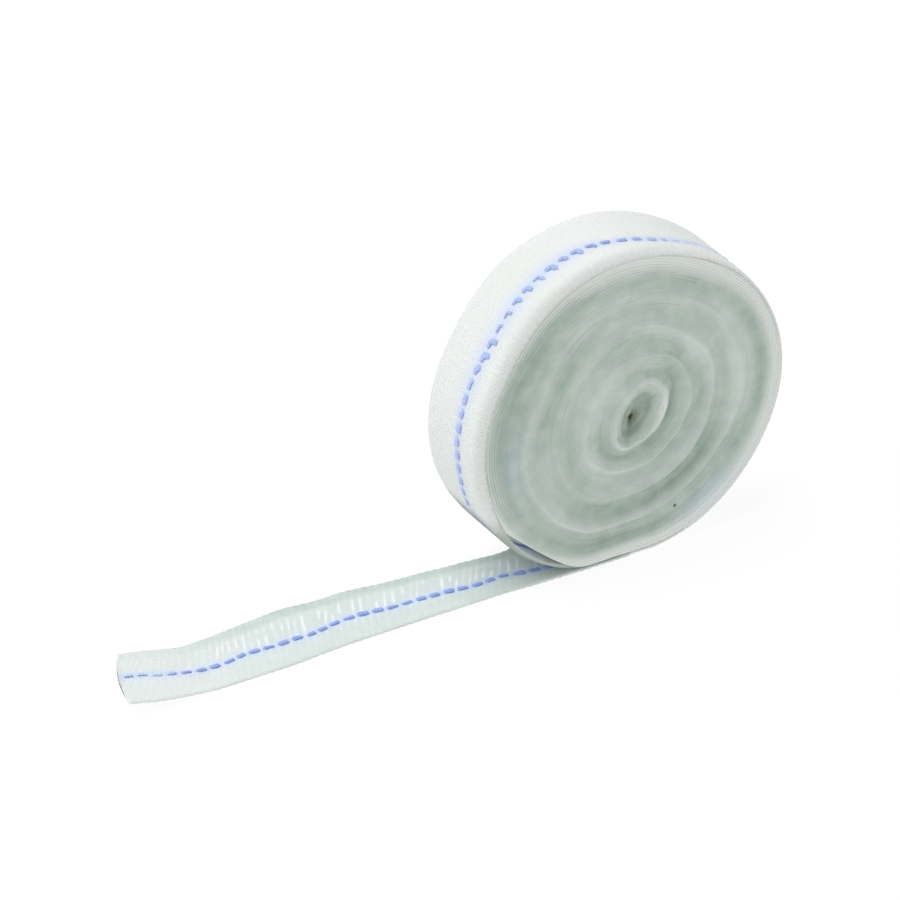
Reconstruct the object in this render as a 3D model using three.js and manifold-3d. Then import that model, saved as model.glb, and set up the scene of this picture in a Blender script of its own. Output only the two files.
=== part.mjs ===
// Gauze ribbon roll: one strip of gauze wound on itself without a core, with its loose end on the surface.
// Millimetres. The roll's axis runs along Y, its open front face looks toward -Y, the loose end runs
// toward -X, Z is up, and the origin is under the roll in the middle of its flat spot.
import * as THREE from "three";
import Module from "manifold-3d";

// Driving dimensions
const RIBBON_WIDTH = 12.5;
const CENTRE_HEIGHT = 22.3;
const SHEET_THICKNESS = 1.0;
const AROUND = 96; // segments round the roll
const STEP = 1.6; // distance between two cross-sections of the loose end

const HALF_WIDTH = RIBBON_WIDTH / 2;
const FRONT = -1;
const BACK = 1;

// The hole in the open face and the throat to which it narrows inside: two squashed ovals, off centre.
const HOLE = { x: 0.9, z: -0.8, halfLength: 4.0, halfWidth: 2.2, lean: 58 };
const THROAT = { x: 1.1, z: -2.6, halfLength: 1.4, halfWidth: 0.6, lean: 58 };

// The innermost turns, from throat to hole: how far in, and how far their front edges have sunk.
const FUNNEL = [
  { inward: 1, sunk: 2.2 },
  { inward: 0.5, sunk: 1.1 },
];

// The soft roll's outline: its radius toward each heading, in degrees from +X toward +Z, how far its
// front edge is pulled in there, and how far back that edge lies where the face's border is rounded.
const OUTLINE = [
  { heading: 0, radius: 23.0, pulled: 0.1, rounded: 0.2 },
  { heading: 30, radius: 22.7, pulled: 0.1, rounded: 0.35 },
  { heading: 60, radius: 22.4, pulled: 0.25, rounded: 0.8 },
  { heading: 90, radius: 23.2, pulled: 0.45, rounded: 1.2 },
  { heading: 120, radius: 23.6, pulled: 0.55, rounded: 1.0 },
  { heading: 150, radius: 23.1, pulled: 0.55, rounded: 0.4 },
  { heading: 180, radius: 23.6, pulled: 0.55, rounded: 0.15 },
  { heading: 210, radius: 23.9, pulled: 0.55, rounded: 0.1 },
  { heading: 240, radius: 23.9, pulled: 0.4, rounded: 0.1 },
  { heading: 270, radius: 22.6, pulled: 0.15, rounded: 0.1 },
  { heading: 300, radius: 22.7, pulled: 0.1, rounded: 0.15 },
  { heading: 330, radius: 22.7, pulled: 0.1, rounded: 0.2 },
];
const BORDER_FROM = 0.86; // share of the way out at which the rounding begins
const BACK_PULLED = 0.12;

// The main turns on the open face: how far out each lies between hole and outline, and how far it
// stands proud of the face.
const TURNS = [
  { out: 0.0, proud: -0.4 },
  { out: 0.035, proud: 0.25 },
  { out: 0.07, proud: 0.65 },
  { out: 0.09, proud: -0.45 },
  { out: 0.145, proud: -0.6 },
  { out: 0.18, proud: 0.05 },
  { out: 0.27, proud: 0.4 },
  { out: 0.29, proud: -0.25 },
  { out: 0.37, proud: -0.3 },
  { out: 0.46, proud: 0.35 },
  { out: 0.48, proud: -0.3 },
  { out: 0.57, proud: -0.2 },
  { out: 0.68, proud: 0.35 },
  { out: 0.7, proud: -0.3 },
  { out: 0.81, proud: -0.25 },
  { out: 0.86, proud: 0.2 },
  { out: 0.945, proud: 0.1 },
];

// The turns wander in and out as they go round, in two sets of waves, most of all half way out.
const WANDER = [
  { waves: 2, size: 0.045, twist: 9 },
  { waves: 5, size: 0.03, twist: -14 },
];

// The turns stand proud least toward the upper left, where the face is pressed flat.
const RELIEF = { mean: 0.75, swing: 0.3, flattestToward: 125 };

// The soft edge between face and rim, from the face outward: how deep below the face each ring lies,
// and its share of the pull toward the roll.
const SOFT_EDGE = [
  { deep: 0.25, pull: 1 },
  { deep: 0.7, pull: 0.3 },
  { deep: 1.4, pull: 0 },
];

// Where the last turn sags away from the roll before it runs under it: the headings at which it leaves
// and meets the turns inside, its own thickness, and the gap at its ends and where it is widest.
const PARTING = { from: 204, to: 255, turnThickness: 1.0, leastGap: 0.15, widestGap: 1.25, steps: 16 };

// The loose end, from under the roll to its cut end: both edges in Y, how high it is lifted off the
// surface, how much higher its far edge lies, and how far its far edge lags behind its near edge.
const LOOSE_END = [
  { x: 3, near: -6.1, far: 6.1, lift: 0, farLift: 0, lag: 0 },
  { x: -6, near: -6.3, far: 5.6, lift: 0, farLift: 0, lag: 0 },
  { x: -14, near: -6.1, far: 2.7, lift: 0, farLift: 0.2, lag: 0 },
  { x: -20, near: -5.8, far: 3.0, lift: 0, farLift: 0.2, lag: 0 },
  { x: -28, near: -5.8, far: 4.0, lift: 0, farLift: 0.1, lag: 0 },
  { x: -37, near: -5.8, far: 5.2, lift: 0, farLift: 0, lag: 0 },
  { x: -47, near: -6.15, far: 6.0, lift: 0, farLift: 0, lag: 0 },
  { x: -54, near: -6.5, far: 5.8, lift: 0, farLift: 0, lag: 0 },
  { x: -62, near: -6.4, far: 5.1, lift: 0, farLift: 0, lag: 0.5 },
  { x: -67, near: -6.3, far: 5.2, lift: 0.5, farLift: 0.1, lag: 2 },
  { x: -71.5, near: -6.3, far: 5.4, lift: 1.2, farLift: 0, lag: 3.6 },
  { x: -75.5, near: -6.0, far: 5.2, lift: 2.1, farLift: -0.2, lag: 4.7 },
];
const CUT_BULGE = { most: 0.8, from: -70 }; // the cut end is a little rounded
const RIPPLE = { height: 0.12, perLength: 0.9, perWidth: 4 }; // the cloth's own unevenness

// One cross-section of the loose end, round it: share of the way across, share of the thickness.
const SHEET_SECTION = [
  { across: 0.04, up: 0 },
  { across: 0.35, up: 0 },
  { across: 0.65, up: 0 },
  { across: 0.96, up: 0 },
  { across: 1, up: 0.5 },
  { across: 0.96, up: 1 },
  { across: 0.75, up: 1 },
  { across: 0.5, up: 1 },
  { across: 0.25, up: 1 },
  { across: 0.04, up: 1 },
  { across: 0, up: 0.5 },
];

const radians = THREE.MathUtils.degToRad;
const { lerp, clamp } = THREE.MathUtils;

// A smooth curve through four values in a row, at share t between the two in the middle.
function smooth(a, b, c, d, t) {
  const slopeIn = (c - a) / 2;
  const slopeOut = (d - b) / 2;
  const square = t * t;
  const cube = square * t;
  return (
    (2 * cube - 3 * square + 1) * b + (cube - 2 * square + t) * slopeIn +
    (3 * square - 2 * cube) * c + (cube - square) * slopeOut
  );
}

// A column of the outline's table, smoothly between its headings.
function outlineAt(angle, column) {
  const rows = OUTLINE.length;
  const place = ((angle / (2 * Math.PI)) * rows + rows) % rows;
  const row = Math.floor(place);
  const read = (i) => OUTLINE[(i + rows) % rows][column];
  return smooth(read(row - 1), read(row), read(row + 1), read(row + 2), place - row);
}

// A point of the outline, cut off level where it would pass below the surface.
function outlinePoint(angle, pulled = 0) {
  const below = Math.max(-Math.sin(angle), 0);
  const toSurface = below > 0 ? CENTRE_HEIGHT / below : Infinity;
  const radius = Math.min(outlineAt(angle, "radius"), toSurface) - pulled;
  return { x: radius * Math.cos(angle), z: CENTRE_HEIGHT + radius * Math.sin(angle) };
}

function ovalPoint(oval, angle) {
  const lean = radians(oval.lean);
  const along = oval.halfLength * Math.cos(angle - lean);
  const aside = oval.halfWidth * Math.sin(angle - lean);
  return {
    x: oval.x + along * Math.cos(lean) - aside * Math.sin(lean),
    z: CENTRE_HEIGHT + oval.z + along * Math.sin(lean) + aside * Math.cos(lean),
  };
}

function wander(angle, out) {
  const waves = WANDER.map((row) => row.size * Math.sin(row.waves * angle + row.twist * out));
  return out * (1 - out) * waves.reduce((sum, wave) => sum + wave, 0);
}

function relief(angle) {
  return RELIEF.mean - RELIEF.swing * Math.cos(angle - radians(RELIEF.flattestToward));
}

function facePoint(angle, turn, side) {
  const out = turn.out + wander(angle, turn.out);
  const inner = ovalPoint(HOLE, angle);
  const outer = outlinePoint(angle);
  const border = side === FRONT ? clamp((turn.out - BORDER_FROM) / (1 - BORDER_FROM), 0, 1) : 0;
  const shift = turn.proud * relief(angle) - outlineAt(angle, "rounded") * border ** 1.5;
  return new THREE.Vector3(
    lerp(inner.x, outer.x, out),
    side * HALF_WIDTH - shift,
    lerp(inner.z, outer.z, out),
  );
}

function edgePoint(angle, row, side) {
  const pulled = side === FRONT ? outlineAt(angle, "pulled") : BACK_PULLED;
  const rounded = side === FRONT ? outlineAt(angle, "rounded") : 0;
  const { x, z } = outlinePoint(angle, row.pull * pulled);
  return new THREE.Vector3(x, side * (HALF_WIDTH - row.deep - rounded), z);
}

function funnelPoint(angle, row, side) {
  const hole = ovalPoint(HOLE, angle);
  const throat = ovalPoint(THROAT, angle);
  const sunk = side === FRONT ? row.sunk : 0;
  const shift = TURNS[0].proud * relief(angle);
  return new THREE.Vector3(
    lerp(hole.x, throat.x, row.inward),
    side * HALF_WIDTH - shift + sunk,
    lerp(hole.z, throat.z, row.inward),
  );
}

// The walls between rings of points. Joined, the last ring runs on into the first.
function walls(rings, joined) {
  const count = rings[0].length;
  const positions = rings.flat().flatMap((point) => [point.x, point.y, point.z]);
  const triangles = [];
  const bands = joined ? rings.length : rings.length - 1;
  for (let i = 0; i < bands; i += 1) {
    const here = i * count;
    const next = ((i + 1) % rings.length) * count;
    for (let j = 0; j < count; j += 1) {
      const k = (j + 1) % count;
      triangles.push(here + j, here + k, next + k);
      triangles.push(here + j, next + k, next + j);
    }
  }
  return { positions, triangles };
}

function ring(pointAt) {
  return Array.from({ length: AROUND }, (_, j) => pointAt((2 * Math.PI * j) / AROUND));
}

// The wound roll: out over the front face, across the rim, in over the back face and through the hole.
function rollSkin() {
  const rings = (side) => [
    ...FUNNEL.map((row) => ring((angle) => funnelPoint(angle, row, side))),
    ...TURNS.map((turn) => ring((angle) => facePoint(angle, turn, side))),
    ...SOFT_EDGE.map((row) => ring((angle) => edgePoint(angle, row, side))),
  ];
  return walls([...rings(FRONT), ...rings(BACK).reverse()], true);
}

// A long thin wedge of air inside the last turn, through the whole width of the roll.
function partingSkin() {
  const { from, to, turnThickness, leastGap, widestGap, steps } = PARTING;
  const past = HALF_WIDTH + 2;
  const inside = [];
  const outside = [];
  for (let i = 0; i <= steps; i += 1) {
    const share = i / steps;
    const angle = radians(lerp(from, to, share));
    const gap = lerp(leastGap, widestGap, Math.sin(Math.PI * share));
    outside.push(outlinePoint(angle, turnThickness));
    inside.push(outlinePoint(angle, turnThickness + gap));
  }
  const loop = [...outside, ...inside.reverse()];
  const ringAt = (y) => loop.map((point) => new THREE.Vector3(point.x, y, point.z));
  const { positions, triangles } = walls([ringAt(-past), ringAt(past)], false);
  for (let i = 0; i < steps; i += 1) {
    const across = loop.length - 1 - i;
    const [a, b, c, d] = [i, i + 1, across - 1, across];
    triangles.push(a, d, c, a, c, b);
    triangles.push(...[a, c, d, a, b, c].map((corner) => corner + loop.length));
  }
  return { positions, triangles };
}

// The loose end's measures at a distance along it, smoothly between the rows of its table.
function looseEndAt(x) {
  const rows = LOOSE_END;
  const after = clamp(rows.findIndex((row) => row.x <= x), 1, rows.length - 1);
  const share = (x - rows[after - 1].x) / (rows[after].x - rows[after - 1].x);
  const at = (i) => rows[clamp(i, 0, rows.length - 1)];
  const read = (column) => smooth(
    at(after - 2)[column], at(after - 1)[column], at(after)[column], at(after + 1)[column], share,
  );
  return {
    near: read("near"),
    far: read("far"),
    lift: Math.max(read("lift"), 0),
    farLift: Math.max(read("farLift"), 0),
    lag: Math.max(read("lag"), 0),
  };
}

function ripple(x, across) {
  const wave = Math.sin(RIPPLE.perLength * x + RIPPLE.perWidth * across);
  return RIPPLE.height * wave * Math.sin(Math.PI * across);
}

// A sheet's skin: walls through its cross-sections and a flat fan over both ends.
function looseEndSkin() {
  const start = LOOSE_END[0].x;
  const end = LOOSE_END[LOOSE_END.length - 1].x;
  const steps = Math.round((start - end) / STEP);
  const rings = [];
  for (let i = 0; i <= steps; i += 1) {
    const x = lerp(start, end, i / steps);
    const here = looseEndAt(x);
    const bulge = CUT_BULGE.most * clamp((x - CUT_BULGE.from) / (end - CUT_BULGE.from), 0, 1);
    rings.push(SHEET_SECTION.map(({ across, up }) => new THREE.Vector3(
      x + here.lag * across - bulge * Math.sin(Math.PI * across),
      lerp(here.near, here.far, across),
      here.lift + up * (SHEET_THICKNESS + here.farLift * across * across + ripple(x, across)),
    )));
  }
  const { positions, triangles } = walls(rings, false);
  const count = SHEET_SECTION.length;
  const last = steps * count;
  for (let j = 1; j < count - 1; j += 1) {
    triangles.push(0, j + 1, j);
    triangles.push(last, last + j, last + j + 1);
  }
  return { positions, triangles };
}

const wasm = await Module();
wasm.setup();

// Turned inside out if need be, so that every body faces outward.
function body({ positions, triangles }) {
  const vertProperties = new Float32Array(positions);
  const corner = (i) => new THREE.Vector3().fromArray(vertProperties, 3 * triangles[i]);
  let volume = 0;
  for (let i = 0; i < triangles.length; i += 3) {
    volume += corner(i).dot(corner(i + 1).cross(corner(i + 2)));
  }
  const triVerts = new Uint32Array(volume > 0 ? triangles : [...triangles].reverse());
  return new wasm.Manifold(new wasm.Mesh({ numProp: 3, vertProperties, triVerts }));
}

function geometry(manifold) {
  const { vertProperties, triVerts } = manifold.getMesh();
  const shape = new THREE.BufferGeometry();
  shape.setAttribute("position", new THREE.BufferAttribute(vertProperties, 3));
  shape.setIndex(new THREE.BufferAttribute(triVerts, 1));
  shape.computeVertexNormals();
  return shape;
}

const roll = body(rollSkin()).subtract(body(partingSkin()));
const ribbon = new THREE.Mesh(
  geometry(roll.add(body(looseEndSkin()))),
  new THREE.MeshStandardMaterial({ color: 0xe4eae4, roughness: 0.95, metalness: 0 }),
);
ribbon.name = "ribbon";

const part = new THREE.Group();
part.name = "gauze_ribbon_roll";
part.add(ribbon);
export default part;
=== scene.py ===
"""Looks of the gauze ribbon roll: the wound ribbon with its fine turns, and its blue marker thread.

Metres, in the frame of the CAD part: the roll's axis along Y, its open face toward -Y, the loose end
toward -X, Z up. The tables below are in millimetres.
"""

import bpy
import numpy as np
from mathutils import Matrix, Vector


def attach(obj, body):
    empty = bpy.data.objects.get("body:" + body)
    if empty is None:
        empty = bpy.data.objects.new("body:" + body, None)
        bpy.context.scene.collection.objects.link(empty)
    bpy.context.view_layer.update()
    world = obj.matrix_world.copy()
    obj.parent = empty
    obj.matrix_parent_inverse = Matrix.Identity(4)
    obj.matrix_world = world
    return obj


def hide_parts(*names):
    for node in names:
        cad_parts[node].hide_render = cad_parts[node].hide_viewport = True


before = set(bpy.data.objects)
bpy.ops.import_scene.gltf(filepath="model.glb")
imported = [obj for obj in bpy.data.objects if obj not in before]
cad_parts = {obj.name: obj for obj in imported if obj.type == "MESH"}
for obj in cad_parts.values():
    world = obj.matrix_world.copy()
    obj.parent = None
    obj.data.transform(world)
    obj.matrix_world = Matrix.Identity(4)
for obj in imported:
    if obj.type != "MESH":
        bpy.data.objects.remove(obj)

MM = 0.001
TURN = 2 * np.pi
KNOTS = 997  # of the seeded unevenness, before it repeats
KNOT_ROWS = 97

# Driving dimensions, in millimetres
RIBBON_WIDTH = 12.5
CLOTH_THICKNESS = 0.34
CENTRE_HEIGHT = 22.3
TURNS_IN_ROLL = 59
PITCH = 0.335  # from one turn to the next
WINDING_DEPTH = 20.1  # from the outline to the hole
WEFT_PITCH = 1.12
WARP_CORDS = 13  # faint lengthways cords across the ribbon
DASH_PITCH = 2.06
THREAD_HALF_WIDTH = 0.4
THREAD_HALF_HEIGHT = 0.18
WEFT_SKEW = 0.43  # how far a weft thread of the loose end runs on in each millimetre across
HALF_WIDTH = RIBBON_WIDTH / 2

# How finely the mesh follows the ribbon
STATIONS_A_TURN = 96
OUTER_STEP = 0.26
ACROSS_STEPS = 26
EDGE_SHARE = 0.012  # of the width that the rounded edge takes
THREAD_STEP = 0.2
SAMPLES_ON_ROLL = 3000
SAMPLES_ON_LOOSE_END = 1600
THREAD_SIDES = 6
TURN_BEVEL = 0.012
LEAST_HEIGHT = 0.01  # above the surface that the roll rests on
JOIN_TURN = 1.06  # where the finely made last turn hands over to the turns inside it
FULLY_WOUND = 0.1  # turns from the take-off within which the ribbon goes over into the roll's form
TAKE_OFF = 270  # the heading at which the loose end leaves the roll

# The hole, and the throat to which the innermost turns narrow it inside: two leaning ovals.
HOLE = {"x": 0.9, "z": -0.8, "half_length": 4.0, "half_width": 2.2, "lean": 58}
THROAT = {"x": 0.55, "z": -2.0, "half_length": 0.22, "half_width": 0.13, "lean": 58}
THROAT_TURNS = 7
THROAT_RECESS = 1.4  # how deep the throat goes, in two steps
THROAT_WALL = {"share": 0.55, "from": 0, "to": 0.4}
THROAT_DIP = {"share": 0.45, "from": 0.55, "to": 1}

# The roll's outline: heading in degrees from +X toward +Z, radius.
OUTLINE = np.array([
    (0, 23.5), (30, 23.2), (60, 22.7), (90, 23.3), (120, 23.7), (150, 23.2),
    (180, 23.7), (210, 24.0), (240, 23.9), (270, 22.6), (300, 23.0), (330, 23.2),
])

# The main turns on the open face: share of the way out, how far proud of the face.
MAIN_TURNS = np.array([
    (0.0, -0.1), (0.015, 0.2), (0.035, 0.9), (0.06, 0.9), (0.085, -0.2), (0.135, -0.7), (0.18, -0.1),
    (0.25, 0.4), (0.285, -0.2), (0.37, -0.35), (0.455, 0.4), (0.49, -0.25), (0.57, -0.3),
    (0.665, 0.4), (0.7, -0.3), (0.8, -0.35), (0.86, 0.15), (0.945, 0.1), (1.0, 0.0),
])

# The turns wander in and out: waves in a turn, size, twist from hole to outline.
WANDER = [(2, 0.045, 9), (5, 0.03, -14)]

# Patches of unevenness on the open face: how many around it, millimetres thick, seed of the draw.
RAGGED_BROAD = (17, 4.0, 36)
RAGGED_FINE = (47, 1.5, 37)
TURNS_VARY = (5, 3.0, 38)
BLOTCHES_BROAD = (11, 1.8, 32)
BLOTCHES_FINE = (31, 1.0, 33)
BORDER_VARIES = (9, 2.0, 31)
TONE_VARIES = (7, 3.0, 35)

# How strong they are. The first two are shares of the way out, the blotches are in millimetres.
UNEVEN = {"ragged_broad": 0.012, "ragged_fine": 0.004, "turns": 0.7, "broad": 0.12, "fine": 0.05}
BLOTCHES_SET_IN = (0.5, 2.5)  # depths in millimetres
MOTTLED = (135, 8, 50, 6)  # a patch with stronger blotches, as in the lists of patches below
MOTTLED_MORE = 0.8
LOOSE_TURNS = {"most": 0.025, "apart": 5, "set_in": (0.5, 3)}  # the turns' edges stand a little apart
RELIEF = {"mean": 0.65, "swing": 0.35, "flattest_toward": 110}
SOFT_EDGE = {"width": 1.4, "power": 1.6, "back": 0.12}

# The seeds of the other random draws
SEEDS = {
    "weft wobble": 11, "strokes": 12, "buckles": 13, "scallops": 17, "thread place": 21,
    "thread thickness": 22, "hooks": 23, "dashes": 24, "loose turns": 34,
}

# How far the last turn's front edge curls in over the turns inside it: heading, millimetres.
FRONT_PULL = np.array([
    (0, 0.1), (50, 0.2), (80, 0.9), (110, 1.2), (195, 1.2), (215, 0.6), (250, 0.3), (280, 0.1), (360, 0.1),
])

# The outer turns are looser toward the lower right; the last one sags away at the lower left.
LOOSENED = {"most": 0.4, "toward": -35, "turns": 3, "power": 1.5}
PARTING = {"from": 206, "to": 250, "widest": 1.4, "turns": 24, "power": 1.2, "opens": (1.0, 1.3)}
STEP_FROM = 0.86  # the outermost turns step inward in the last part of each turn
EVEN_FROM = (2, 12)  # further in they wind evenly

# How far in from the rim the open face is still pale, with painted light from the lit rim: heading,
# millimetres.
PALE_BORDER = np.array([
    (0, 3.1), (45, 4.0), (90, 4.8), (120, 3.1), (150, 2.0), (180, 1.9), (210, 2.0), (240, 2.4),
    (270, 3.0), (300, 3.4), (330, 3.3), (360, 3.1),
])

BORDER_FADES_FROM = 0.35  # share of that width
BORDER_WANDERS = 0.35  # millimetres
ROUNDING_POWER = 1.5

# How dark the open face's green-grey painted shade is: everywhere, for each millimetre that it stands out
# (lighter there, a painted highlight), by patches, in the throat's two steps, and in the darker patches.
FACE_SHADE = {"mean": 0.72, "main": -0.5, "blotches": -0.6, "varies": 0.2, "darker": 0.2}
THROAT_SHADES = [(0.45, 0, 0.3), (0.8, 0.4, 1)]  # how much darker, from where to where
BLUISH_MOST = 0.3
INSIDE_STARTS = 230  # millimetres along the ribbon, for the material alone

# A dark speck of lint on the open face.
SPECK = (6.9, -6.2, 5.4)
SPECK_RADIUS = 0.32

# Patches of the open face: heading, millimetres in from the rim, half width in degrees, half thickness.
BLUISH = [(188, 5.0, 16, 1.7), (306, 2.6, 16, 1.7)]
DARKER = [(75, 5.8, 32, 1.5), (184, 3.9, 30, 0.9)]

# How far the open face's border is rounded off toward the rim: heading, millimetres.
ROUNDED = np.array([
    (0, 0.2), (45, 0.25), (80, 1.2), (100, 1.3), (120, 1.1), (150, 0.7), (180, 0.5), (210, 0.2),
    (270, 0.1), (330, 0.2), (360, 0.2),
])

# The loose end: x, near edge, far edge, lift, further lift of the far edge, lag of the far edge.
LOOSE_END = np.array([
    (0, -6.25, 6.25, 0, 0, 0),
    (-6, -6.25, 5.6, 0, 0, 0),
    (-14.5, -5.95, 2.85, 0, 0.1, 0),
    (-19, -5.65, 3.15, 0, 0.2, 0),
    (-23, -5.65, 3.55, 0, 0.2, 0),
    (-28, -5.65, 4.15, 0, 0.15, 0),
    (-32, -5.65, 4.65, 0, 0.1, 0),
    (-37, -5.65, 5.35, 0, 0.1, 0),
    (-41.6, -5.7, 5.45, 0, 0.1, 0),
    (-46, -5.85, 6.05, 0, 0, 0),
    (-51, -6.25, 5.75, 0, 0, 0),
    (-56, -6.3, 5.3, 0, 0, 0),
    (-62, -6.2, 4.9, 0, 0, 0.5),
    (-67, -6.3, 5.2, 0.5, 0.1, 2.0),
    (-71.5, -6.3, 5.4, 1.2, 0, 3.6),
    (-75.5, -6.0, 5.4, 2.0, -0.3, 4.7),
])
CUT_BULGE = {"most": 0.8, "from": -70, "over": 5.5}

# The weft of the loose end: faint ribs, and short white strokes in a band along its middle.
RIB_HEIGHT = 0.045
CORD_HEIGHT = 0.015
FAINT_RIBS = 0.12
STROKES = {"from": (0.2, 0.5), "to": (0.72, 0.84), "fade": (58, 66), "faded": 0.8, "length": 1.7}
STROKE_STRENGTH = {"mean": 0.6, "varies": 1.4, "most": 1.2}
WOBBLE = {"most": 0.4, "apart": 2.7, "skew": 3}
BUCKLES = {"height": 0.03, "apart": 3.1, "skew": 5}
SCALLOPS = {"regular": 0.07, "uneven": 0.06, "apart": 5, "less_on_roll": 0.7, "reach": (0.4, 0.5)}

# How much darker the sheer loose end is painted than the rim, as painted shade: distance from the roll,
# share.
LOOSE_END_SHADE = np.array([
    (0, 0.3), (6, 0.3), (18, 0.35), (46, 0.33), (58, 0.22), (66, 0.1), (76, 0.08),
])
FAR_BAND = (0.78, 0.9)  # shares of the width between which it grows twice as dark
LOOSE_END_BLUISH = 0.15

# Headings between which a change on the roll sets in.
THIN_FROM = (205, 218)  # here the last turn is a single thickness, with light behind it
THIN_TO = (262, 268)
# Painted light: between these headings the rim's top is paler, as if lit from above.
PAINTED_TOP_LIGHT_FROM = (50, 75)  # here the rim is a little paler
PAINTED_TOP_LIGHT_TO = (95, 125)
PAINTED_TOP_LIGHT = 0.45
HALO_FROM = (92, 110)  # here the marker's blue spreads wider
HALO_TO = (150, 185)
HALO_WIDER = 0.6

# Where the marker thread lies, in mm behind the front edge: on the roll by heading, on the loose end by x.
MARKER_ON_ROLL = np.array([
    (0, 4.6), (40, 4.8), (55, 4.2), (70, 3.1), (78, 2.9), (91, 3.75), (100, 4.9), (114, 5.1),
    (125, 5.0), (140, 4.65), (150, 4.8), (165, 4.8), (180, 4.85), (195, 5.0), (213, 5.6), (230, 5.3),
    (247, 5.2), (270, 5.0), (360, 4.6),
])
MARKER_ON_LOOSE_END = np.array([
    (-75.5, 6.4), (-72.2, 6.0), (-69.0, 5.5), (-65.6, 5.0), (-63.2, 4.75), (-60.9, 4.7), (-58.5, 4.7),
    (-55.6, 5.2), (-53.3, 5.0), (-46.1, 5.0), (-43.4, 5.4), (-40.8, 5.6), (-38.3, 5.8), (-36.1, 5.3),
    (-33.9, 4.9), (-29.1, 4.8), (-24.5, 4.4), (-22.3, 3.9), (-17.4, 4.0), (-15.3, 3.4), (-10.9, 2.8),
    (0, 4.0),
])

# The marker's dashes: headings of the gap where it shows on the inner side, and of the hooks at the upper
# left, below which the dashes are thicker; at the top and at the tip the thread is faded.
INNER_SIDE_FROM = (203, 208)
INNER_SIDE_TO = (262, 266)
HOOKS_FROM = (92, 102)
HOOKS_TO = (140, 165)
HOOK_REACH = 1.2
HOOK_VARIES = {"mean": 0.9, "by": 0.5, "apart": 1.3}
HOOK_LAG = 2.1  # radians after the middle of the dash
HOOK_PART = (0.5, 1.0)  # of the wave that draws the dashes
DASH_SHARE = {"swing": 2.4, "mean": 1.8, "less_on_roll": 0.5, "down_on_inner_side": 4.8}
DASH_UNEVEN = {"radians": 0.6, "apart": 2.3}
THREAD_WANDER = {"most": 0.15, "apart": 2.5}
THREAD_THICKNESS = {"varies": 0.32, "apart": 1.7, "hooks": -0.22, "low_side": 0.2, "faded": -0.2}
THREAD_PALER = {"low_side": 0.5, "hooks": 0.3}
FADED_FROM = (20, 45)
FADED_TO = (62, 95)
FADED_TIP = (64, 70)  # distances from the roll
THREAD_LIFT = 0.06
FADED_SUNK = 0.12

# Colours, as shares of red, green and blue
BODY_DARK = (0.79, 0.83, 0.79, 1)
BODY_PALE = (0.82, 0.85, 0.82, 1)
# Painted shade: the cloudy green-grey that the shade mixes in on the open face and on the loose end.
PAINTED_SHADE_DARK = (0.355, 0.455, 0.385, 1)
PAINTED_SHADE_PALE = (0.46, 0.56, 0.48, 1)
# Painted shade at the bottom of the throat.
PAINTED_SHADE_DEEPEST = (0.26, 0.30, 0.22, 1)
# White of the weft's raised strokes, and painted light on the rim's top.
RAISED_AND_PAINTED_LIGHT = (0.95, 0.97, 0.96, 1)
BLUE_TINT = (0.60, 0.70, 1.0, 1)
LINT = (0.14, 0.16, 0.13, 1)
THREAD_DARK = (0.17, 0.29, 0.70, 1)
THREAD_PALE = (0.48, 0.56, 0.92, 1)
THREAD_FADED = (0.62, 0.72, 0.95, 1)
FLOOR_DARK = (0.17, 0.17, 0.17, 1)
FLOOR_PALE = (0.19, 0.19, 0.19, 1)
SKY = (0.97, 1.0, 0.99, 1)
WHITE = (1, 1, 1)

# The weave's small pitch in the material, in millimetres
WARP_DETAIL = 0.42
WEFT_DETAIL = 0.35
PLY_DETAIL = 0.5

# Scales of the materials' noise: for each millimetre along the ribbon, and for each metre
PATCH_SCALE = 0.16
FINE_SCALE = 2.4
THREAD_TONE_SCALE = 0.7
FIBRE_SCALE = 6.0
CLOUDS = {"a_metre": 450.0, "detail": 4.0, "contrast": 3.0, "offset": -1.0}
FLOOR_SCALE = 30.0

# The gauze's surface
RAISED_AND_PAINTED_LIGHT_SHARE = 0.9
TINT_SHARE = 0.65
LIGHT_SHARE = 0.85
SCATTER = {"weight": 0.4, "radius": (0.8, 0.9, 0.8)}
GAUZE_ROUGHNESS = {"varies": 0.2, "least": 0.78}
GAUZE_BUMP = {"weave": 0.35, "height": 0.06}
THREAD_ROUGHNESS = {"varies": 0.05, "mean": 0.75}
THREAD_BUMP = {"ply": 0.4, "height": 0.05}

# Light: direction from the roll, strength, spread in degrees
KEY_LIGHT = ((-0.35, 0.2, 0.9), 1.75, 60)
LEFT_LIGHT = ((-0.9, 0.15, 0.35), 0.1, 60)
SKY_STRENGTH = 0.55
FLOOR_GLOW = 0.84
FLOOR_HALF_SIDE = 3.0

# Camera: angles in degrees, then metres, from the middle of the open face
CAMERA_AZIMUTH = -31.5
CAMERA_ELEVATION = 31.3
CAMERA_DISTANCE = 1.299
CAMERA_LEFT = 0.0237
CAMERA_DOWN = 0.00519
LENS = 400
SENSOR = 36


def smooth_step(value, low, high):
    """0 below low, 1 above high, with no corner between them."""
    return eased(np.clip((value - low) / (high - low), 0, 1))


def band(value, rises, falls):
    """0, then 1 between the two pairs of places, then 0 again."""
    return smooth_step(value, *rises) * (1 - smooth_step(value, *falls))


def mix(low, high, share):
    return low + (high - low) * share


def eased(share):
    return share * share * (3 - 2 * share)


def noise(place, seed):
    """Smooth seeded unevenness from -1 to 1, with one knot at each whole place."""
    knots = np.random.default_rng(seed).uniform(-1, 1, KNOTS)
    whole = np.floor(place).astype(int)
    return mix(knots[whole % KNOTS], knots[(whole + 1) % KNOTS], eased(place - whole))


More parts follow.
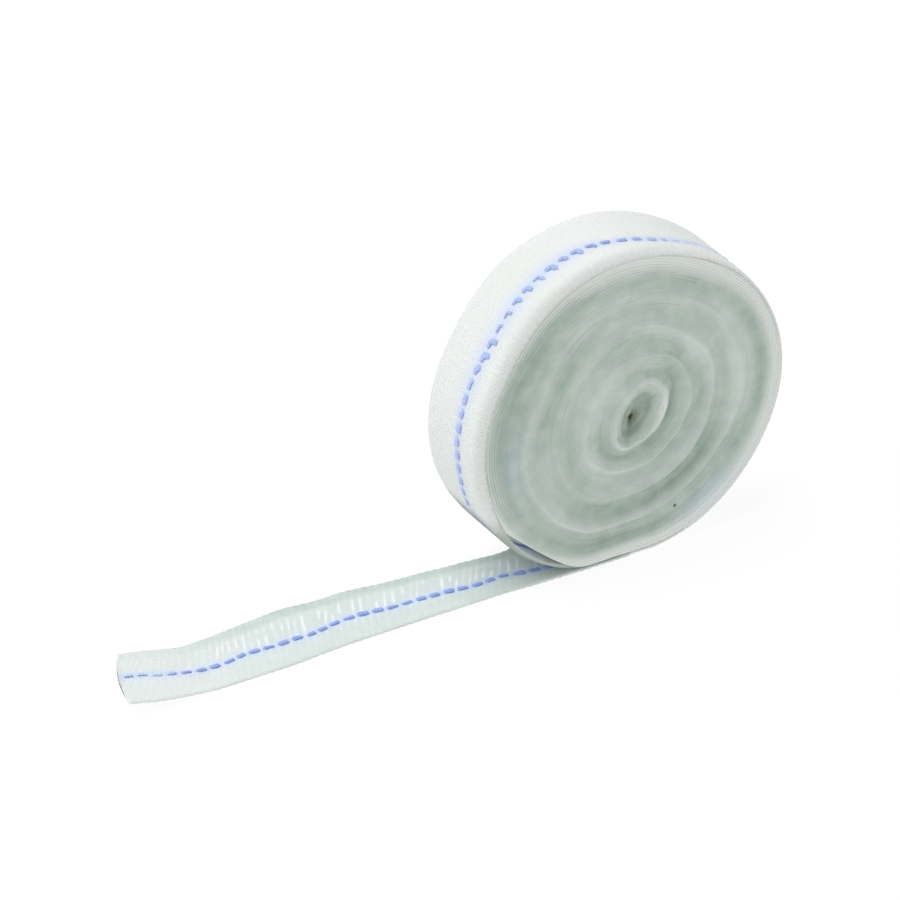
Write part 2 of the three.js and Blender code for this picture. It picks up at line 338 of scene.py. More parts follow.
def grid_noise(u, v, seed, columns=KNOTS):
    """Smooth seeded unevenness from -1 to 1 over two directions, with a knot at each whole place."""
    knots = np.random.default_rng(seed).uniform(-1, 1, (KNOT_ROWS, columns))
    column, row = np.floor(u).astype(int), np.floor(v).astype(int)
    left, right = column % columns, (column + 1) % columns
    under, over = row % KNOT_ROWS, (row + 1) % KNOT_ROWS
    low = mix(knots[under, left], knots[under, right], eased(u - column))
    high = mix(knots[over, left], knots[over, right], eased(u - column))
    return mix(low, high, eased(v - row))


def patches(angle, depth, around, thick, seed):
    """Unevenness over the open face: so many patches around it, each so many millimetres thick."""
    return grid_noise(angle / TURN * around, depth / thick, seed, columns=around)


def outline_radius(angle):
    """A smooth closed curve through the table's radii."""
    rows = len(OUTLINE)
    place = (angle / TURN * rows) % rows
    row = np.floor(place).astype(int)
    t = place - row
    a, b, c, d = (OUTLINE[(row + i) % rows, 1] for i in (-1, 0, 1, 2))
    slope_in, slope_out = (c - a) / 2, (d - b) / 2
    square, cube = t * t, t * t * t
    ends = (2 * cube - 3 * square + 1) * b + (3 * square - 2 * cube) * c
    return ends + (cube - 2 * square + t) * slope_in + (cube - square) * slope_out


def outline_point(angle):
    """The outline in X and Z, cut off level where it would pass below the surface."""
    below = np.maximum(-np.sin(angle), 1e-6)
    radius = np.minimum(outline_radius(angle), CENTRE_HEIGHT / below)
    return np.stack([radius * np.cos(angle), CENTRE_HEIGHT + radius * np.sin(angle)], -1)


def oval_point(oval, angle):
    """A point in X and Z on a leaning oval."""
    lean = np.radians(oval["lean"])
    along = oval["half_length"] * np.cos(angle - lean)
    aside = oval["half_width"] * np.sin(angle - lean)
    x = oval["x"] + along * np.cos(lean) - aside * np.sin(lean)
    z = CENTRE_HEIGHT + oval["z"] + along * np.sin(lean) + aside * np.cos(lean)
    return np.stack([x, z], -1)


def throat_share(depth):
    """0 at the hole's edge, growing to 1 at the innermost turn."""
    return np.clip((depth - WINDING_DEPTH) / (THROAT_TURNS * PITCH), 0, 1)


def wound_point(angle, depth):
    """A point in the winding, depth millimetres in from the outline."""
    out = np.maximum(1 - depth / WINDING_DEPTH, 0)
    waves = sum(size * np.sin(count * angle + twist * out) for count, size, twist in WANDER)
    place = out + out * (1 - out) * waves
    inmost = mix(oval_point(HOLE, angle), oval_point(THROAT, angle), throat_share(depth)[..., None])
    return mix(inmost, outline_point(angle), place[..., None])


def side_shift(angle, out):
    """How far the ribbon stands out of the front face there."""
    swing = np.cos(angle - np.radians(RELIEF["flattest_toward"]))
    return np.interp(out, *MAIN_TURNS.T) * (RELIEF["mean"] - RELIEF["swing"] * swing)


def unevenness(angle, depth):
    """The open face's main turns, and the blotches over them, in millimetres out of the face."""
    out = np.maximum(1 - depth / WINDING_DEPTH, 0)
    ragged = out + UNEVEN["ragged_broad"] * patches(angle, depth, *RAGGED_BROAD)
    ragged = ragged + UNEVEN["ragged_fine"] * patches(angle, depth, *RAGGED_FINE)
    main = side_shift(angle, ragged) * (1 + UNEVEN["turns"] * patches(angle, depth, *TURNS_VARY))
    blotches = UNEVEN["broad"] * patches(angle, depth, *BLOTCHES_BROAD)
    blotches = blotches + UNEVEN["fine"] * patches(angle, depth, *BLOTCHES_FINE)
    blotches = blotches * (1 + MOTTLED_MORE * face_patch(angle, depth, *MOTTLED))
    return main, blotches * smooth_step(depth, *BLOTCHES_SET_IN)


def face_patch(angle, depth, heading, deep, half_width, half_thickness):
    """1 in the middle of a soft patch of the open face, and 0 away from it."""
    aside = (np.degrees(angle) % 360 - heading) / half_width
    return np.exp(-(aside ** 2) - ((depth - deep) / half_thickness) ** 2)


def parting(angle):
    """How wide the gap is between the last turn and the turns inside it."""
    degrees = np.degrees(angle) % 360
    share = np.clip((degrees - PARTING["from"]) / (PARTING["to"] - PARTING["from"]), 0, 1)
    return PARTING["widest"] * np.sin(np.pi * share) ** PARTING["power"]


def depth_of(turn, angle):
    """How far in from the outline the ribbon's middle lies after that many turns."""
    whole = np.floor(turn)
    stepped = whole + smooth_step(turn - whole, STEP_FROM, 1.0)
    turns_in = mix(stepped, turn, smooth_step(turn, *EVEN_FROM))
    toward = (0.5 + 0.5 * np.cos(angle - np.radians(LOOSENED["toward"]))) ** LOOSENED["power"]
    tight = np.clip(1 - turn / TURNS_IN_ROLL, 0, 1)
    slack = LOOSENED["most"] * toward * (1 - np.exp(-turn / LOOSENED["turns"])) * tight
    sag = parting(angle) * smooth_step(turn, *PARTING["opens"])
    sag = sag * np.clip(1 - (turn - 1) / PARTING["turns"], 0, 1)
    return CLOTH_THICKNESS / 2 + PITCH * turns_in + slack + sag


def painted_light_border(angle, depth):
    """1 at the rim of the open face, falling to 0 where the border ends: painted light from the lit rim, in
    place of the painted shade.
    """
    wide = np.interp(np.degrees(angle) % 360, *PALE_BORDER.T)
    varied = depth + BORDER_WANDERS * patches(angle, depth, *BORDER_VARIES)
    return 1 - smooth_step(varied, BORDER_FADES_FROM * wide, wide)


def rounding(angle, depth):
    """How far back the front edge lies there, because the open face's border is rounded off."""
    degrees = np.degrees(angle) % 360
    share = np.clip(1 - depth / np.interp(degrees, *PALE_BORDER.T), 0, 1)
    return np.interp(degrees, *ROUNDED.T) * share ** ROUNDING_POWER


def set_back(angle, depth):
    """How far back the open face lies: down the throat, on its rounded border, under the curled edge."""
    curled = np.interp(np.degrees(angle) % 360, *FRONT_PULL.T)
    covered = np.clip((depth - CLOTH_THICKNESS) / curled, 0, 1)
    under = SOFT_EDGE["width"] * (1 - covered ** (1 / SOFT_EDGE["power"]))
    border = rounding(angle, np.maximum(depth, curled + CLOTH_THICKNESS))
    inner = throat_share(depth)
    steps = sum(
        step["share"] * smooth_step(inner, step["from"], step["to"]) for step in (THROAT_WALL, THROAT_DIP)
    )
    return THROAT_RECESS * steps + border + under


def mesh_object(name, rings, attributes, smooth=True):
    """A tube through rings of points (stations, around, 3) in millimetres, both ends closed by a fan."""
    stations, around = rings.shape[:2]
    index = np.arange(stations * around).reshape(stations, around)
    here, after = index[:-1], index[1:]
    quads = np.stack([here, np.roll(here, -1, 1), np.roll(after, -1, 1), after], -1).reshape(-1, 4)
    faces = [tuple(int(i) for i in quad) for quad in quads]
    faces += [tuple(int(i) for i in index[0][::-1]), tuple(int(i) for i in index[-1])]
    mesh = bpy.data.meshes.new(name)
    mesh.from_pydata((rings.reshape(-1, 3) * MM).tolist(), [], faces)
    mesh.polygons.foreach_set("use_smooth", np.full(len(faces), smooth))
    for key, values in attributes.items():
        layer = mesh.attributes.new(key, "FLOAT", "POINT")
        layer.data.foreach_set("value", np.broadcast_to(values, (stations, around)).astype("f4").ravel())
    mesh.validate()
    shape = bpy.data.objects.new(name, mesh)
    bpy.context.scene.collection.objects.link(shape)
    return shape


def lengths_along(path):
    """How far along a path each of its points lies."""
    gaps = np.linalg.norm(np.diff(path, axis=0), axis=1)
    return np.concatenate([[0], np.cumsum(gaps)])


def stations_by_length(path, step):
    """Places a step apart along a densely sampled path, counted in its samples, and in millimetres."""
    length = lengths_along(path)
    count = int(length[-1] / step) + 1
    even = np.linspace(0, length[-1], count)
    return np.interp(even, length, np.arange(len(path))), even


def face_shade(angle, depth):
    """How dark the open face's green-grey painted shade is: darker in its hollows, lighter as a painted
    highlight where it stands out, and darkest down the throat.
    """
    main, blotches = unevenness(angle, depth)
    shade = FACE_SHADE["mean"] + FACE_SHADE["main"] * main + FACE_SHADE["blotches"] * blotches
    shade = shade + FACE_SHADE["varies"] * patches(angle, depth, *TONE_VARIES)
    shade = shade + sum(more * smooth_step(throat_share(depth), *reach) for more, *reach in THROAT_SHADES)
    shade = shade + FACE_SHADE["darker"] * sum(face_patch(angle, depth, *row) for row in DARKER)
    return shade * (1 - painted_light_border(angle, depth))


def inner_turns():
    """The turns inside the last one, from the take-off to the hole."""
    turn = np.arange(JOIN_TURN, TURNS_IN_ROLL + THROAT_TURNS, 1 / STATIONS_A_TURN)
    angle = np.radians(TAKE_OFF) + TURN * turn
    depth = depth_of(turn, angle)
    section = [(0, 0), (0, 1), (1, 1), (1, 0), (1, -1), (0, -1)]
    along = lengths_along(wound_point(angle, depth))
    loose = LOOSE_TURNS["most"] * noise(along / LOOSE_TURNS["apart"], SEEDS["loose turns"])
    loose = loose * smooth_step(depth, *LOOSE_TURNS["set_in"])
    rings = []
    for across, up in section:
        here = depth - up * PITCH / 2
        point = wound_point(angle, here)
        main, blotches = unevenness(angle, here)
        y = (across - 0.5) * RIBBON_WIDTH - main - blotches - loose
        y = y + set_back(angle, here) * (across == 0) + TURN_BEVEL * abs(up) * (1 - 2 * across)
        rings.append(np.stack([point[:, 0], y, point[:, 1]], -1))
    across = np.array([row[0] for row in section])
    bluish = BLUISH_MOST * sum(face_patch(angle, depth, *row) for row in BLUISH)
    return np.stack(rings, 1), {
        "along": along[:, None] + INSIDE_STARTS,
        "across": across[None, :] * RIBBON_WIDTH,
        "marker": bluish[:, None],
        "rib": np.zeros((1, 1)),
        "sheer": np.zeros((1, 1)),
        "light_through": np.zeros((1, 1)),
        "shade": face_shade(angle, depth)[:, None],
    }


def table_at(rows, x):
    """All columns of a table at each x, smoothly between its rows."""
    xs = rows[::-1, 0]
    values = rows[::-1]
    slopes = np.gradient(values, xs, axis=0)
    row = np.clip(np.searchsorted(xs, x) - 1, 0, len(xs) - 2)
    span = (xs[row + 1] - xs[row])[:, None]
    t = ((x - xs[row]) / (xs[row + 1] - xs[row]))[:, None]
    square, cube = t * t, t * t * t
    ends = (2 * cube - 3 * square + 1) * values[row] + (3 * square - 2 * cube) * values[row + 1]
    return ends + span * ((cube - 2 * square + t) * slopes[row] + (cube - square) * slopes[row + 1])


def outer_path():
    """The last turn and the loose end, densely sampled: both edges, and the marker's place as a share."""
    turns = np.linspace(JOIN_TURN, 0, SAMPLES_ON_ROLL)
    angle = np.radians(TAKE_OFF) + TURN * turns
    depth = depth_of(turns, angle)
    middle = wound_point(angle, depth)
    heading = np.degrees(angle) % 360
    tip_depth = np.maximum(depth, CLOTH_THICKNESS + np.interp(heading, *FRONT_PULL.T))
    main, blotches = unevenness(angle, tip_depth)
    fully_wound = smooth_step(turns, 0, FULLY_WOUND)
    shift = (main + blotches) * fully_wound
    front = rounding(angle, tip_depth) * fully_wound - HALF_WIDTH - shift
    near = np.stack([middle[:, 0], front, middle[:, 1]], -1)
    far = np.stack([middle[:, 0], HALF_WIDTH - shift, middle[:, 1]], -1)
    marker = np.interp(heading, *MARKER_ON_ROLL.T) / RIBBON_WIDTH
    x = np.linspace(0, LOOSE_END[-1, 0], SAMPLES_ON_LOOSE_END)[1:]
    _, near_y, far_y, lift, far_lift, lag = table_at(LOOSE_END, x).T
    lift = np.maximum(lift, 0) + CLOTH_THICKNESS / 2
    near_end = np.stack([x, near_y, lift], -1)
    far_end = np.stack([x + np.maximum(lag, 0), far_y, lift + far_lift], -1)
    behind = np.interp(x, *MARKER_ON_LOOSE_END.T)
    marker_end = (behind - HALF_WIDTH - near_y) / (far_y - near_y)
    on_roll = np.concatenate([np.ones(len(turns)), np.zeros(len(x))])
    return {
        "near": np.concatenate([near, near_end]),
        "far": np.concatenate([far, far_end]),
        "marker": np.concatenate([marker, marker_end]),
        "on_roll": on_roll,
        "heading": np.concatenate([np.degrees(angle), np.full(len(x), TAKE_OFF)]),
    }


def outer_stations(step):
    """The outer path at even steps, with how far along each lies and which way is outward."""
    path = outer_path()
    centre = (path["near"] + path["far"]) / 2
    place, along = stations_by_length(centre, step)
    samples = np.arange(len(centre))
    pick = {"along": along}
    for key, values in path.items():
        if values.ndim == 1:
            pick[key] = np.interp(place, samples, values)
        else:
            pick[key] = np.stack([np.interp(place, samples, values[:, i]) for i in range(3)], -1)
    pick["heading"] = pick["heading"] % 360
    lengthwise = np.gradient(pick["near"] + pick["far"], axis=0)
    crosswise = pick["far"] - pick["near"]
    outward = np.cross(lengthwise, crosswise)
    pick["outward"] = outward / np.linalg.norm(outward, axis=1)[:, None]
    return pick


def soft_edge(across, heading):
    """How far the ribbon's edges are pulled in toward the roll."""
    width = SOFT_EDGE["width"] / RIBBON_WIDTH
    inside = np.minimum(across, 1 - across)
    pulled = np.where(across < 0.5, np.interp(heading, *FRONT_PULL.T), SOFT_EDGE["back"])
    return pulled * np.clip(1 - inside / width, 0, 1) ** SOFT_EDGE["power"]


def cloth_point(pick, across, up):
    """A point of the outer ribbon, and its weft ribs' height there."""
    along = pick["along"][:, None]
    on_roll = pick["on_roll"][:, None]
    off_roll = 1 - on_roll
    spread = pick["near"][:, None] * (1 - across[..., None]) + pick["far"][:, None] * across[..., None]
    wobble = WOBBLE["most"] * noise(along / WOBBLE["apart"] + WOBBLE["skew"] * across, SEEDS["weft wobble"])
    skewed = along + (WEFT_SKEW * RIBBON_WIDTH * across + wobble) * off_roll
    wave = np.maximum(np.cos(TURN * skewed / WEFT_PITCH), 0) ** 2
    strokes = band(across, STROKES["from"], STROKES["to"])
    strokes = strokes * (1 - STROKES["faded"] * smooth_step(-spread[..., 0], *STROKES["fade"]))
    uneven = grid_noise(
        skewed / WEFT_PITCH, across * RIBBON_WIDTH / STROKES["length"], SEEDS["strokes"],
    )
    strength = STROKE_STRENGTH["mean"] + STROKE_STRENGTH["varies"] * uneven
    rib = wave * (FAINT_RIBS + strokes * np.clip(strength, 0, STROKE_STRENGTH["most"]) * off_roll)
    warp = np.cos(TURN * across * WARP_CORDS)
    place = along / BUCKLES["apart"] + BUCKLES["skew"] * across
    buckled = BUCKLES["height"] * noise(place, SEEDS["buckles"])
    height = up * (CLOTH_THICKNESS / 2 + RIB_HEIGHT * rib + CORD_HEIGHT * warp) + buckled * off_roll
    height = height - on_roll * soft_edge(across, pick["heading"][:, None])
    return spread + pick["outward"][:, None] * height[..., None], rib


def lift_off_surface(rings):
    """Nothing reaches below the surface that the roll rests on."""
    rings[..., 2] = np.maximum(rings[..., 2], LEAST_HEIGHT)
    return rings


def cut_bulge(pick):
    """How far the middle of the cut end stands out beyond its corners."""
    share = np.clip((CUT_BULGE["from"] - pick["near"][:, 0]) / CUT_BULGE["over"], 0, 1)
    return CUT_BULGE["most"] * share * (1 - pick["on_roll"])


def scallops(pick):
    """How far the woven edges go in and out with the weft."""
    regular = SCALLOPS["regular"] * np.cos(TURN * pick["along"] / WEFT_PITCH)
    uneven = SCALLOPS["uneven"] * noise(pick["along"] / SCALLOPS["apart"], SEEDS["scallops"])
    return (regular + uneven) * (1 - SCALLOPS["less_on_roll"] * pick["on_roll"])


def marker_blue(pick, across):
    """The marker's blue that shows in the cloth beside it, from 0 to 1."""
    away = (across - pick["marker"][:, None]) * RIBBON_WIDTH
    halo = band(pick["heading"], HALO_FROM, HALO_TO) * pick["on_roll"]
    away = away / (1 + HALO_WIDER * halo)[:, None]
    bluish = LOOSE_END_BLUISH * (1 - pick["on_roll"])[:, None]
    return np.clip(np.exp(-(away ** 2)) + bluish, 0, 1)


def loose_end_shade(pick, across):
    """Painted shade on the sheer loose end: how much darker it is than the rim, most of all in its far
    band.
    """
    darker = np.interp(-pick["near"][:, 0], *LOOSE_END_SHADE.T) * (1 - pick["on_roll"])
    return darker[:, None] * (1 + smooth_step(across, *FAR_BAND))


def outer_ribbon():
    """The last turn and the loose end, finely made."""
    pick = outer_stations(OUTER_STEP)
    even = np.linspace(EDGE_SHARE, 1 - EDGE_SHARE, ACROSS_STEPS + 1)
    across = np.concatenate([even, [1.0], even[::-1], [0.0]])
    up = np.concatenate([np.ones(len(even)), [0], -np.ones(len(even)), [0]])
    across = np.broadcast_to(across, (len(pick["along"]), len(across)))
    rings, rib = cloth_point(pick, across, up[None, :])
    rings[..., 0] -= cut_bulge(pick)[:, None] * np.sin(np.pi * across)
    at_edge = np.sign(across - 0.5) * smooth_step(np.abs(across - 0.5), *SCALLOPS["reach"])
    rings[..., 1] += scallops(pick)[:, None] * at_edge
    # Painted light on the rim's top, carried in the rib share together with the weft's white strokes.
    painted_top_light = PAINTED_TOP_LIGHT * band(pick["heading"], PAINTED_TOP_LIGHT_FROM, PAINTED_TOP_LIGHT_TO) * pick["on_roll"]
    thin = band(pick["heading"], THIN_FROM, THIN_TO) * pick["on_roll"]
    return lift_off_surface(rings), {
        "along": pick["along"][:, None],
        "across": across * RIBBON_WIDTH,
        "marker": marker_blue(pick, across),
        "rib": rib + painted_top_light[:, None],
        "shade": loose_end_shade(pick, across),
        "sheer": np.ones((1, 1)),
        "light_through": thin[:, None],
    }


def thread_across(pick, phase, hooked):
    """Where the marker thread lies, as a share of the ribbon's width."""
    along = pick["along"]
    varied = HOOK_VARIES["mean"] + HOOK_VARIES["by"] * noise(along / HOOK_VARIES["apart"], SEEDS["hooks"])
    hook = smooth_step(np.cos(phase - HOOK_LAG), *HOOK_PART) * varied
    wander = THREAD_WANDER["most"] * noise(along / THREAD_WANDER["apart"], SEEDS["thread place"])
    return pick["marker"] + (wander - HOOK_REACH * hook * hooked) / RIBBON_WIDTH


def thread_thickness(along, hooked, low_side, faded):
    """How thick the marker thread is, as a share of its usual thickness."""
    sizes = THREAD_THICKNESS
    thick = 1 + sizes["varies"] * noise(along / sizes["apart"], SEEDS["thread thickness"])
    thick = thick + sizes["hooks"] * hooked + sizes["low_side"] * low_side
    return thick * (1 + sizes["faded"] * faded)


def thread_rings(pick, centre, thick):
    """Flat oval rings around the thread's centre line."""
    lengthwise = np.gradient(centre, axis=0)
    lengthwise /= np.linalg.norm(lengthwise, axis=1)[:, None]
    sideways = np.cross(pick["outward"], lengthwise)
    turns = TURN * np.arange(THREAD_SIDES) / THREAD_SIDES
    wide = (np.cos(turns) * THREAD_HALF_WIDTH * thick[:, None])[..., None] * sideways[:, None]
    high = (np.sin(turns) * THREAD_HALF_HEIGHT * thick[:, None])[..., None] * pick["outward"][:, None]
    return centre[:, None] + wide + high


def marker_thread():
    """The blue yarn: up on the visible side for a dash, then down through the cloth."""
    pick = outer_stations(THREAD_STEP)
    along = pick["along"]
    visible = np.where(pick["on_roll"] > 0.5, 1.0, -1.0)
    dash_noise = noise(along / DASH_UNEVEN["apart"], SEEDS["dashes"])
    phase = TURN * along / DASH_PITCH + DASH_UNEVEN["radians"] * dash_noise
    on_roll = pick["on_roll"]
    under = band(pick["heading"], INNER_SIDE_FROM, INNER_SIDE_TO) * on_roll
    up = DASH_SHARE["swing"] * np.cos(phase) + DASH_SHARE["mean"]
    up = up - DASH_SHARE["less_on_roll"] * on_roll - DASH_SHARE["down_on_inner_side"] * under
    hooked = on_roll * band(pick["heading"], HOOKS_FROM, HOOKS_TO)
    low_side = on_roll * smooth_step(pick["heading"], *HOOKS_TO) * (1 - under)
    faded = smooth_step(-pick["near"][:, 0], *FADED_TIP) * (1 - on_roll)
    faded = faded + on_roll * band(pick["heading"], FADED_FROM, FADED_TO)
    reach = CLOTH_THICKNESS / 2 + THREAD_LIFT - FADED_SUNK * faded * on_roll
    base, _ = cloth_point(pick, thread_across(pick, phase, hooked)[:, None], np.zeros((1, 1)))
    centre = base[:, 0] + pick["outward"] * (visible * np.clip(up, -1, 1) * reach)[:, None]
    rings = thread_rings(pick, centre, thread_thickness(along, hooked, low_side, faded))
    paler = THREAD_PALER["low_side"] * low_side + THREAD_PALER["hooks"] * hooked
    faded = np.clip(faded + paler, 0, 1)
    return lift_off_surface(rings), {"along": along[:, None], "faded": faded[:, None]}


def join(name, shapes):
    """Several meshes as one object."""
    with bpy.context.temp_override(
        active_object=shapes[0], selected_editable_objects=shapes, selected_objects=shapes,
    ):
        bpy.ops.object.join()
    shapes[0].name = name
    shapes[0].data.name = name
    return shapes[0]


class Shader:
    """Short words for building one material's nodes."""

    def __init__(self, name):
        self.material = bpy.data.materials.new(name)
        self.material.use_nodes = True
        self.tree = self.material.node_tree
        self.surface = self.tree.nodes["Principled BSDF"]

    def put(self, socket, value):
        if isinstance(value, bpy.types.NodeSocket):
            self.tree.links.new(value, socket)
        else:
            socket.default_value = value

    def attribute(self, name):
        node = self.tree.nodes.new("ShaderNodeAttribute")
        node.attribute_name = name
        return node.outputs["Fac"]

    def math(self, operation, *values):
        node = self.tree.nodes.new("ShaderNodeMath")
        node.operation = operation
        for socket, value in zip(node.inputs, values):
            self.put(socket, value)
        return node.outputs[0]

    def scaled(self, name, factor):
        """One of the mesh's own values, times a number."""
        return self.math("MULTIPLY", self.attribute(name), factor)

    def vector(self, x, y):
        node = self.tree.nodes.new("ShaderNodeCombineXYZ")
        for socket, value in zip(node.inputs, (x, y)):
            self.put(socket, value)
        return node.outputs[0]

    def place(self):
        """Where on the object the surface lies, in metres."""
        return self.tree.nodes.new("ShaderNodeTexCoord").outputs["Object"]

    def spot(self, place, radius):
        """1 within a small distance in millimetres of a place on the object, and 0 elsewhere."""
        node = self.tree.nodes.new("ShaderNodeVectorMath")
        node.operation = "DISTANCE"
        self.put(node.inputs[0], self.place())
        node.inputs[1].default_value = [value * MM for value in place]
        return self.math("LESS_THAN", node.outputs["Value"], radius * MM)

    def noise(self, place, scale, detail=3.0):
        node = self.tree.nodes.new("ShaderNodeTexNoise")
        self.put(node.inputs["Vector"], place)
        node.inputs["Scale"].default_value = scale
        node.inputs["Detail"].default_value = detail
        return node.outputs["Fac"]

    def mix(self, share, first, second):
        node = self.tree.nodes.new("ShaderNodeMix")
        node.data_type = "RGBA"
        self.put(node.inputs[0], share)
        self.put(node.inputs[6], first)
        self.put(node.inputs[7], second)
        return node.outputs[2]

    def let_light_through(self, share, colour):
        """Where the share is above 0, light from behind shows, as in a single thickness of gauze."""
        behind = self.tree.nodes.new("ShaderNodeBsdfTranslucent")
        self.put(behind.inputs["Color"], colour)
        both = self.tree.nodes.new("ShaderNodeMixShader")
        self.put(both.inputs[0], share)
        self.put(both.inputs[1], self.surface.outputs[0])
        self.put(both.inputs[2], behind.outputs[0])
        self.put(self.tree.nodes["Material Output"].inputs["Surface"], both.outputs[0])

    def bump(self, height, distance):
        node = self.tree.nodes.new("ShaderNodeBump")
        node.inputs["Distance"].default_value = distance
        node.inputs["Strength"].default_value = 1.0
        self.put(node.inputs["Height"], height)
        self.put(self.surface.inputs["Normal"], node.outputs[0])


def gauze_material():
    """Gauze with weave, patches of tone, a green-grey painted shade inside and on the loose end, painted
    light on the rim's top, and the marker's blue showing through.
    """
    shader = Shader("gauze")
    along = shader.attribute("along")
    across = shader.attribute("across")
    place = shader.vector(along, across)
    patch = shader.noise(place, PATCH_SCALE)
    fine = shader.noise(place, FINE_SCALE)
    warp = shader.math("SINE", shader.math("MULTIPLY", across, TURN / WARP_DETAIL))
    weft = shader.math("SINE", shader.math("MULTIPLY", along, TURN / WEFT_DETAIL))
    weave = shader.math("MULTIPLY", warp, weft)
    colour = shader.mix(patch, BODY_DARK, BODY_PALE)
    # Painted shade: a cloudy green-grey, mixed in by the shade on the open face and on the loose end.
    clouds = shader.noise(shader.place(), CLOUDS["a_metre"], CLOUDS["detail"])
    clouds = shader.math("MULTIPLY_ADD", clouds, CLOUDS["contrast"], CLOUDS["offset"])
    inside = shader.mix(clouds, PAINTED_SHADE_DARK, PAINTED_SHADE_PALE)
    colour = shader.mix(shader.attribute("shade"), colour, inside)
    # Painted shade: darkest down the throat, where the shade goes past 1.
    colour = shader.mix(shader.math("SUBTRACT", shader.attribute("shade"), 1.0), colour, PAINTED_SHADE_DEEPEST)
    # The rib share whitens the weft's raised strokes, and on the rim's top it is painted light.
    colour = shader.mix(shader.scaled("rib", RAISED_AND_PAINTED_LIGHT_SHARE), colour, RAISED_AND_PAINTED_LIGHT)
    colour = shader.mix(shader.scaled("marker", TINT_SHARE), colour, BLUE_TINT)
    colour = shader.mix(shader.spot(SPECK, SPECK_RADIUS), colour, LINT)
    shader.put(shader.surface.inputs["Base Color"], colour)
    rough = shader.math("MULTIPLY_ADD", fine, GAUZE_ROUGHNESS["varies"], GAUZE_ROUGHNESS["least"])
    shader.put(shader.surface.inputs["Roughness"], rough)
    shader.surface.inputs["Sheen Weight"].default_value = 0.15
    shader.surface.inputs["Sheen Roughness"].default_value = 0.6
    shader.surface.inputs["Specular IOR Level"].default_value = 0.2
    shader.put(shader.surface.inputs["Subsurface Weight"], shader.scaled("sheer", SCATTER["weight"]))
    shader.surface.inputs["Subsurface Radius"].default_value = SCATTER["radius"]
    shader.surface.inputs["Subsurface Scale"].default_value = MM
    shader.bump(shader.math("MULTIPLY_ADD", weave, GAUZE_BUMP["weave"], fine), GAUZE_BUMP["height"] * MM)
    shader.let_light_through(shader.scaled("light_through", LIGHT_SHARE), colour)
    return shader.material


def thread_material():
    """Blue yarn, uneven in tone, paler where it has faded."""
    shader = Shader("marker_thread")
    along = shader.attribute("along")
    place = shader.vector(along, 0.0)
    ply = shader.math("SINE", shader.math("MULTIPLY", along, TURN / PLY_DETAIL))
    colour = shader.mix(shader.noise(place, THREAD_TONE_SCALE), THREAD_DARK, THREAD_PALE)
    colour = shader.mix(shader.attribute("faded"), colour, THREAD_FADED)
    shader.put(shader.surface.inputs["Base Color"], colour)
    rough = shader.math("MULTIPLY_ADD", ply, THREAD_ROUGHNESS["varies"], THREAD_ROUGHNESS["mean"])
    shader.put(shader.surface.inputs["Roughness"], rough)
    shader.surface.inputs["Sheen Weight"].default_value = 0.2
    shader.surface.inputs["Specular IOR Level"].default_value = 0.2
    height = shader.math("MULTIPLY_ADD", ply, THREAD_BUMP["ply"], shader.noise(place, FIBRE_SCALE))
    shader.bump(height, THREAD_BUMP["height"] * MM)
    return shader.material


def floor_material():
    """A floor that shines a little by itself, so that it is as white as the photo's background."""
    shader = Shader("floor")
    colour = shader.mix(shader.noise(shader.place(), FLOOR_SCALE), FLOOR_DARK, FLOOR_PALE)
    shader.put(shader.surface.inputs["Base Color"], colour)
    shader.surface.inputs["Roughness"].default_value = 0.9
    shader.surface.inputs["Specular IOR Level"].default_value = 0.1
    shader.surface.inputs["Emission Color"].default_value = (*WHITE, 1)
    shader.surface.inputs["Emission Strength"].default_value = FLOOR_GLOW
    return shader.material


def build_ribbon():
    """The whole ribbon: the fine last turn and loose end, and the turns that go on inside them."""
    fine = mesh_object("gauze_ribbon", *outer_ribbon())
    wound = mesh_object("inner_turns", *inner_turns(), smooth=False)
    ribbon = join("gauze_ribbon", [fine, wound])
    ribbon.data.materials.append(gauze_material())
    return ribbon


def build_thread():
    thread = mesh_object("marker_thread", *marker_thread())
    thread.data.materials.append(thread_material())
    return thread


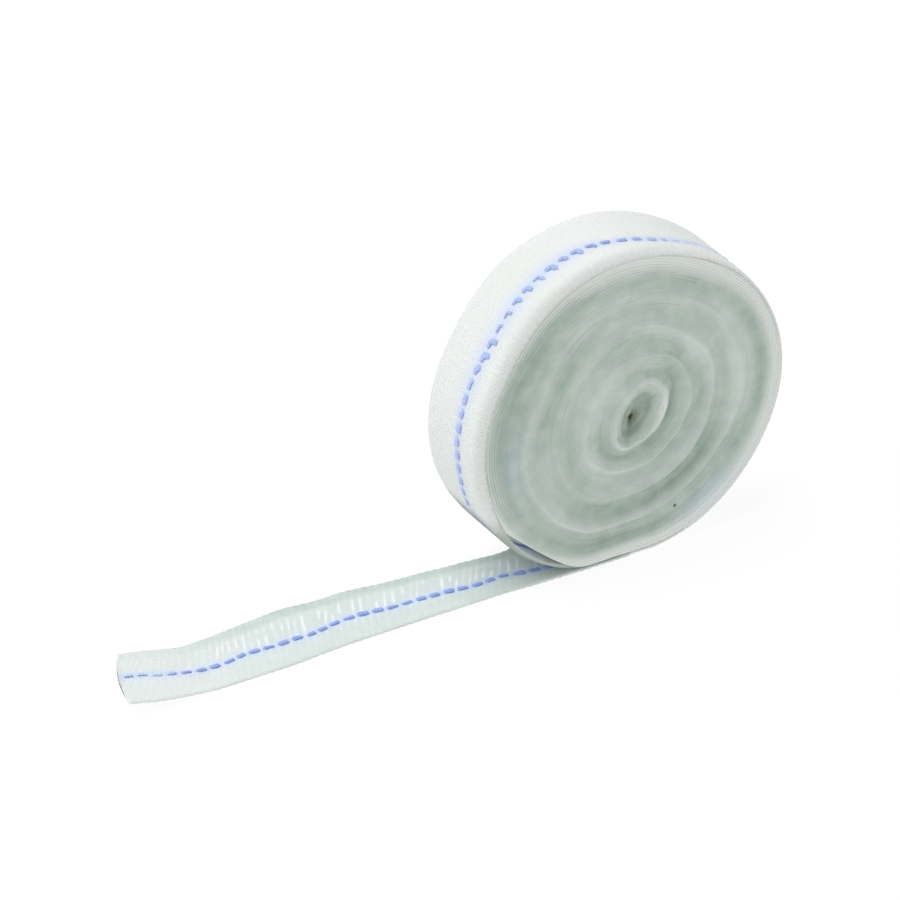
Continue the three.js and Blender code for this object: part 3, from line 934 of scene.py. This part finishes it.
def build_floor():
    half = FLOOR_HALF_SIDE
    mesh = bpy.data.meshes.new("floor")
    corners = [(-half, -half, 0), (half, -half, 0), (half, half, 0), (-half, half, 0)]
    mesh.from_pydata(corners, [], [(0, 1, 2, 3)])
    floor = bpy.data.objects.new("floor", mesh)
    bpy.context.scene.collection.objects.link(floor)
    mesh.materials.append(floor_material())


def add_sun(name, toward, strength, spread):
    """A soft light from far away, toward the given direction from the roll."""
    light = bpy.data.lights.new(name, "SUN")
    light.energy = strength
    light.angle = np.radians(spread)
    light.color = WHITE
    lamp = bpy.data.objects.new(name, light)
    lamp.rotation_euler = Vector(toward).to_track_quat("Z", "Y").to_euler()
    bpy.context.scene.collection.objects.link(lamp)


def build_light():
    scene = bpy.context.scene
    scene.world = bpy.data.worlds.new("studio")
    scene.world.use_nodes = True
    background = scene.world.node_tree.nodes["Background"]
    background.inputs["Color"].default_value = SKY
    background.inputs["Strength"].default_value = SKY_STRENGTH
    add_sun("key", *KEY_LIGHT)
    add_sun("left", *LEFT_LIGHT)
    scene.view_settings.view_transform = "Standard"


def build_camera():
    """A long lens at the photograph's angle."""
    azimuth, elevation = np.radians(CAMERA_AZIMUTH), np.radians(CAMERA_ELEVATION)
    level = np.cos(elevation)
    right = Vector((np.cos(azimuth), np.sin(azimuth), 0))
    back = Vector((np.sin(azimuth) * level, -np.cos(azimuth) * level, np.sin(elevation)))
    up = back.cross(right)
    face_centre = Vector((0, -HALF_WIDTH * MM, CENTRE_HEIGHT * MM))
    target = face_centre - right * CAMERA_LEFT - up * CAMERA_DOWN
    lens = bpy.data.cameras.new("camera")
    lens.sensor_width = SENSOR
    lens.lens = LENS
    camera = bpy.data.objects.new("camera", lens)
    turned = Matrix((right, up, back)).transposed().to_4x4()
    camera.matrix_world = Matrix.Translation(target + back * CAMERA_DISTANCE) @ turned
    bpy.context.scene.collection.objects.link(camera)
    bpy.context.scene.camera = camera


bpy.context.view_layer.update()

ribbon = build_ribbon()
thread = build_thread()
build_floor()
build_light()
build_camera()

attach(ribbon, "root")
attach(thread, "root")
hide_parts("ribbon")
